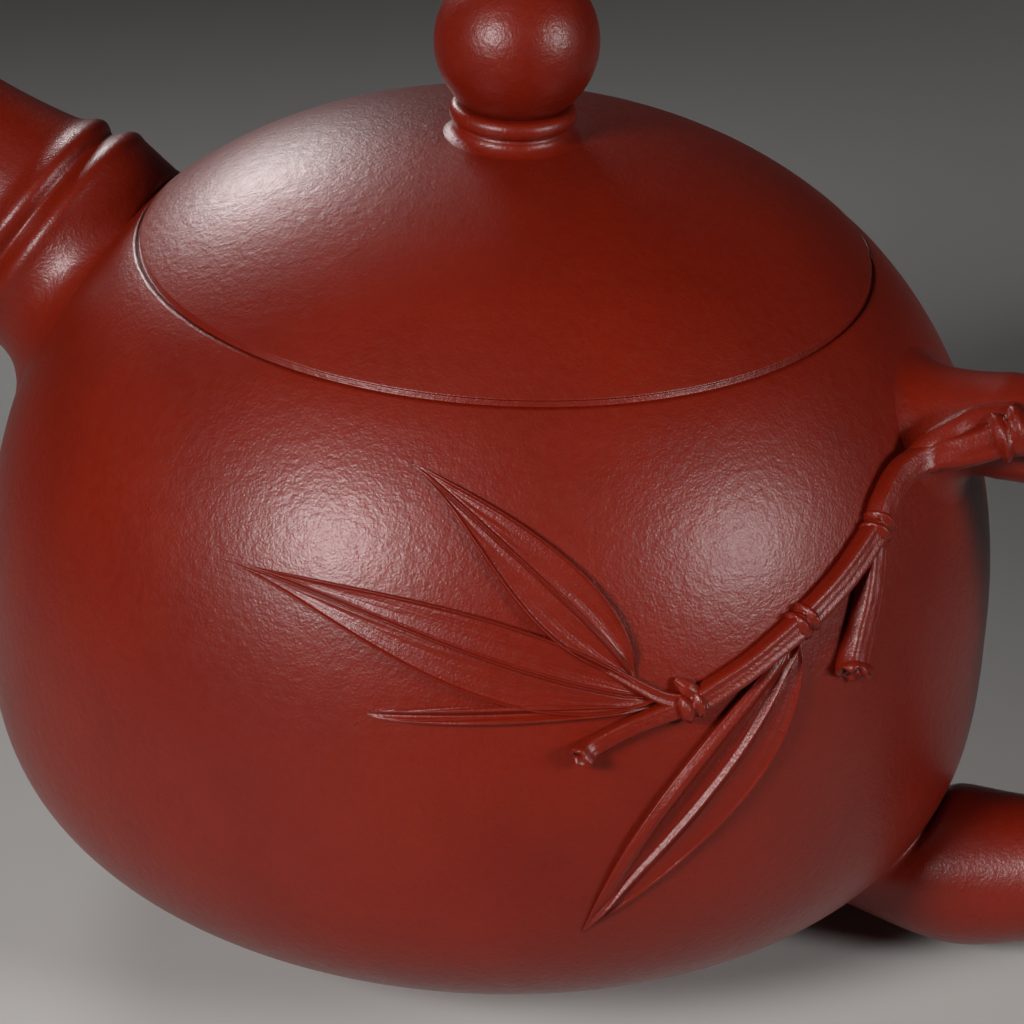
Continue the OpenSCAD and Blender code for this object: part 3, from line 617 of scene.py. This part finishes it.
def leaf(name, node, base, tip, low, mid, high, rim_low, rim_high, rib, valley, blade):
    """A leaf on the belly, from its lower edge, midrib and upper edge, each a Bezier curve in
    skin angle and height. Across the leaf the clay stands at the blade's height, plus a bell
    curve along each rim and at the rib, less two grooves beside the rib and a hollow between.
    Rims are (height, width, distance in from the edge) and the rib is (height, width), in mm;
    valley is the hollow's depth on the two sides. The edges drop, then tuck in under the blade."""
    u = np.linspace(0.004, 0.996, 190)[:, None]
    v = np.sin(np.linspace(-1, 1, 111)*np.pi/2)[None, :]
    v = 0.45*v + 0.55*np.linspace(-1, 1, 111)[None, :]

    def place(v):
        """Angle and height on the skin: from the rib towards the edge on v's side."""
        m = bezier([base, *mid, tip], u[:, 0])[:, None]
        e = np.where(v[..., None] < 0, bezier([base, *low, tip], u[:, 0])[:, None],
                     bezier([base, *high, tip], u[:, 0])[:, None])
        return m + (e - m)*np.abs(v)[..., None]

    def width(side):
        """Distance from the rib to one edge, in mm, for each ring."""
        edge, rib_line = place(np.array([[side, 0.0]])).transpose(1, 0, 2)
        return np.linalg.norm(skin(*edge.T) - skin(*rib_line.T), axis=-1)[:, None]/mm

    w_low, w_high = width(-1.0), width(1.0)
    w = np.where(v < 0, w_low, w_high)
    grown = np.clip(u/0.10, 0.3, 1)**0.6*(1 - u**3)**0.8 + 0.06
    slim = np.clip(w/0.9, 0, 1)
    from_rib, from_rim = np.abs(v)*w, (1 - np.abs(v))*w
    rim_h, rim_w, rim_in, hollow = (np.where(v < 0, one_side, other_side) for one_side, other_side
                                    in zip((*rim_low, valley[0]), (*rim_high, valley[1])))
    lift = blade - hollow*np.sin(np.pi*np.abs(v)**0.8)**2*slim
    lift = lift + rim_h*np.exp(-((from_rim - rim_in*slim)/rim_w)**2)*(0.35 + 0.65*slim)
    lift = lift + rib[0]*np.exp(-(from_rib/rib[1])**2)*(0.35 + 0.65*slim)
    lift = lift - 0.4*rib[0]*np.exp(-((from_rib - 2.1*rib[1])/(0.8*rib[1]))**2)*slim
    veins = np.cos(2*np.pi*9*v + 0.8*np.sin(7*u)) + 0.6*np.cos(2*np.pi*16*v + 1.5*np.sin(11*u + 1))
    lift = lift + vein_height*veins*(1 - np.abs(v)**6)*slim
    lift = (lift*grown + 0.02*wrinkles(5*v, 14*u, 60 + len(name), 9)*slim)*mm
    top = skin(*np.moveaxis(place(v), -1, 0), lift)
    tuck_low = 1 - np.minimum(edge_tuck/w_low, most_tuck)
    tuck_high = 1 - np.minimum(edge_tuck/w_high, most_tuck)
    one = np.ones_like(u)
    under_v = np.hstack([one, tuck_high, 0.5*tuck_high, 0*one, -0.5*tuck_low, -tuck_low, -one])
    under_lift = np.hstack([lift[:, -1:] - edge_drop*grown, *([-under_depth*one]*5),
                            lift[:, :1] - edge_drop*grown])
    under = skin(*np.moveaxis(place(under_v), -1, 0), under_lift)
    clay_piece(name, np.concatenate([top, under], axis=1), "pot", carved, [node])


leaf("upper_leaf", "leaf_upper", base=[-57, 31], tip=[-84, 66],
     low=[[-70, 36.3], [-72.7, 57.6]], mid=[[-62, 44], [-74, 59.8]],
     high=[[-56.4, 50.6], [-72.4, 62.2]], rim_low=(0.34, 0.15, 0.17),
     rim_high=(0.26, 0.12, 0.14), rib=(0.26, 0.09), valley=(0.14, 0.14), blade=0.5)
leaf("long_leaf", "leaf_main", base=[-54, 26.5], tip=[-104.5, 43.8],
     low=[[-72, 18], [-87.5, 42.7]], mid=[[-70.5, 32.2], [-87.1, 45.5]],
     high=[[-66.8, 46.3], [-87.1, 46.5]], rim_low=(0.26, 0.12, 0.12),
     rim_high=(0.26, 0.12, 0.13), rib=(0.28, 0.09), valley=(0.12, 0.12), blade=0.55)
leaf("folded_leaf", "leaf_folded", base=[-55, 25], tip=[-85.2, 22.4],
     low=[[-66, 24], [-83.5, 20.4]], mid=[[-66, 26.6], [-83.5, 22.4]],
     high=[[-66, 29.6], [-83.5, 24.6]], rim_low=(0.28, 0.22, 0.25),
     rim_high=(0.28, 0.22, 0.25), rib=(-0.26, 0.2), valley=(0.0, 0.0), blade=0.5)
leaf("hanging_leaf", "leaf_hanging", base=[-37, 34.8], tip=[-61.2, -23.5],
     low=[[-36.2, 9.5], [-50, -6]], mid=[[-43, 15.2], [-53.8, -3.6]],
     high=[[-50, 21.5], [-58.2, 0]], rim_low=(0.14, 0.15, 0.14),
     rim_high=(0.72, 0.70, 0.82), rib=(0.30, 0.19), valley=(0.14, 0.40), blade=0.55)

# ---- Lid ----
# The lid's dome is cut from the same curve as the belly, so it carries on the pot's line. A
# flange luted under it drops into the mouth, and its edge is rubbed to a fine round.
lid_wall = 2.8*mm
air_r = 0.8*mm
lid_z = seam_z + 0.05*mm
lid_edge_r = mouth_r - 0.6*mm
lid_in_r = inside_r(lid_z, lid_wall)
lid_rim_round, lid_rim_play = 0.3*mm, 0.06*mm
dome = skin_arc(lid_edge_r, air_r + 0.1*mm, 110)
lid_profile = np.vstack([
    rounded([[lid_in_r, lid_z], [mouth_r - lid_rim_play, lid_z], dome[0]],
            lid_rim_round, 12)[:-1],
    dome, [[air_r, dome[-1, 1] - 0.1*mm]],
    [[air_r, widest_z + shoulder_h - lid_wall]],
    skin_arc(air_r + 0.3*mm, lid_in_r + 0.001*mm, 40, lid_wall)[1:-1],
])
turned("lid_cap", lid_profile, "lid", burnished, ["lid_dome"], "round")
lid_play, flange_t, flange_drop, flange_edge = 0.25*mm, 2.4*mm, 5*mm, 0.4*mm
flange_r, flange_low = bore_r - lid_play, seam_z - flange_drop
flange_in = flange_r - flange_t
flange_profile = rounded([
    [flange_r - 0.4*mm, skin_z(flange_r, lid_wall) + press_in],
    [flange_r, lid_z - 0.1*mm], [flange_r, flange_low], [flange_in, flange_low],
    [flange_in, skin_z(flange_in, lid_wall) + press_in]], flange_edge)
turned("lid_flange_strip", flange_profile, "lid", plain, ["lid_flange"], "round")

# ---- Knob ----
# A ball rolled in the palms, on a flattened bead and a collar whose foot is smeared out onto
# the lid. One air hole goes through all of them.
knob_r, knob_foot_r, knob_neck_r, knob_ring_h = 7.1*mm, 4.9*mm, 5.5*mm, 1.55*mm
knob_flare, bead_round, ball_seat, ball_mouth = 3*mm, 0.75*mm, 1.2*mm, 0.15*mm
knob_sides, ball_sides = 160, 200
lid_top_z = widest_z + shoulder_h
knob_foot_z = lid_top_z - press_in
knob_neck_z = knob_foot_z + knob_ring_h
ball_z = knob_neck_z + knob_ring_h
cut_r = knob_neck_r - ball_seat
ball_centre_z = ball_z + (knob_r**2 - cut_r**2)**0.5
w = np.linspace(0, 1, 40)
collar = np.column_stack([knob_foot_r + knob_flare*(1 - w)**2,
                          skin_z(knob_foot_r + knob_flare) - 0.03*mm
                          + (knob_foot_z + 0.75*knob_ring_h - lid_top_z + 0.5*mm)*w**2])
collar = np.vstack([[[air_r, knob_foot_z - 0.2*mm]], collar,
                    [[knob_foot_r - 0.25*mm, knob_neck_z], [air_r, knob_neck_z]]])
turned("knob_lower_bead", collar, "lid", burnished, ["knob_foot_ring"], "round", knob_sides)
t = np.linspace(-1, 1, 30)*np.pi/2
bead = np.column_stack([knob_neck_r - bead_round + bead_round*np.cos(t)**0.8,
                        knob_neck_z + knob_ring_h/2*(1 + np.sin(t))])
bead = np.vstack([[[air_r, knob_neck_z]], bead, [[air_r, ball_z]]])
turned("knob_upper_bead", bead, "lid", burnished, ["knob_neck_ring"], "round", knob_sides)
t = np.linspace(np.arcsin((ball_z - ball_centre_z)/knob_r), np.arccos(1.25*air_r/knob_r), 120)
ball = np.column_stack([knob_r*np.cos(t), ball_centre_z + knob_r*np.sin(t)])
ball = np.vstack([[[air_r, ball_z]], ball, [[air_r, ball[-1, 1] - ball_mouth]]])
turned("knob_bead_ball", ball, "lid", burnished, ["knob_ball"], "round", ball_sides)

# ---- Table, lights and camera ----
# A plain pale table under four soft oval lamps: one in front, one at the right, one behind on
# the left that grazes the lid, and a large weak one above.
table_colour, table_roughness, half_table = (0.46, 0.445, 0.43, 1), 0.8, 3
table_mesh = bpy.data.meshes.new("table")
table_mesh.from_pydata([(-half_table, -half_table, 0), (half_table, -half_table, 0),
                        (half_table, half_table, 0), (-half_table, half_table, 0)],
                       [], [(0, 1, 2, 3)])
table = bpy.data.objects.new("table", table_mesh)
bpy.context.scene.collection.objects.link(table)
table_finish = bpy.data.materials.new("pale_table")
table_finish.use_nodes = True
table_shader = table_finish.node_tree.nodes["Principled BSDF"]
table_shader.inputs["Base Color"].default_value = table_colour
table_shader.inputs["Roughness"].default_value = table_roughness
table.data.materials.append(table_finish)

room_colour, room_light = (1.0, 0.98, 0.96, 1), 0.018
world = bpy.data.worlds.new("studio")
bpy.context.scene.world = world
world.use_nodes = True
world.node_tree.nodes["Background"].inputs["Color"].default_value = room_colour
world.node_tree.nodes["Background"].inputs["Strength"].default_value = room_light


def lamp(name, near, azimuth, elevation, distance, size, power, beam=180):
    """An oval soft lamp at an angle and distance from a point it faces; beam is the angle in
    degrees that a grid over the lamp lets its light spread through."""
    az, el = np.radians([azimuth, elevation])
    out = Vector((np.cos(el)*np.cos(az), np.cos(el)*np.sin(az), np.sin(el)))
    light = bpy.data.lights.new(name, "AREA")
    light.shape, light.size, light.size_y = "ELLIPSE", size[0], size[1]
    light.energy, light.spread = power, np.radians(beam)
    lit = bpy.data.objects.new(name, light)
    bpy.context.scene.collection.objects.link(lit)
    lit.location = Vector(near) + out*distance
    lit.rotation_euler = out.to_track_quat("Z", "Y").to_euler()


lamp("lamp_front", (-0.001, -0.040, 0.051), azimuth=-112.6, elevation=25.6, distance=0.45,
     size=(0.17, 0.14), power=0.135, beam=36)
lamp("lamp_right", (0.029, -0.027, 0.050), azimuth=-10.8, elevation=20.6, distance=0.45,
     size=(0.17, 0.14), power=0.068, beam=36)
lamp("lamp_back", (-0.018, -0.011, 0.068), azimuth=132, elevation=22, distance=0.55,
     size=(0.24, 0.16), power=0.06, beam=36)
lamp("lamp_above", (0, 0, 0.05), azimuth=-100, elevation=75, distance=0.9,
     size=(0.6, 0.6), power=0.15)

# The camera looks down on the spray from close by. It is swung and raised about the point it
# aims at, then panned, tilted and rolled a little, each about its own axes.
aim, away = Vector((0, 0, 0.0326)), 0.3787
turned_by, raised_by = np.radians(17), np.radians(27.24)
pan, tilt, roll = 0.00467, 0.00486, np.radians(-2.98)
eye = aim + away*Vector((np.cos(raised_by)*np.sin(turned_by),
                         -np.cos(raised_by)*np.cos(turned_by), np.sin(raised_by)))
ahead = (aim - eye).normalized()
right = Vector((np.cos(turned_by), np.sin(turned_by), 0))
top = right.cross(ahead)
right, ahead = right*np.cos(pan) - ahead*np.sin(pan), right*np.sin(pan) + ahead*np.cos(pan)
top, ahead = top*np.cos(tilt) - ahead*np.sin(tilt), top*np.sin(tilt) + ahead*np.cos(tilt)
right, top = right*np.cos(roll) - top*np.sin(roll), right*np.sin(roll) + top*np.cos(roll)
camera_data = bpy.data.cameras.new("camera")
camera_data.sensor_width = 36
camera_data.lens = 147.66
camera_data.clip_start = 0.01
camera = bpy.data.objects.new("camera", camera_data)
bpy.context.scene.collection.objects.link(camera)
camera.matrix_world = Matrix.Translation(eye) @ Matrix((right, top, -ahead)).transposed().to_4x4()
bpy.context.scene.camera = camera
bpy.context.scene.view_settings.view_transform = "Standard"
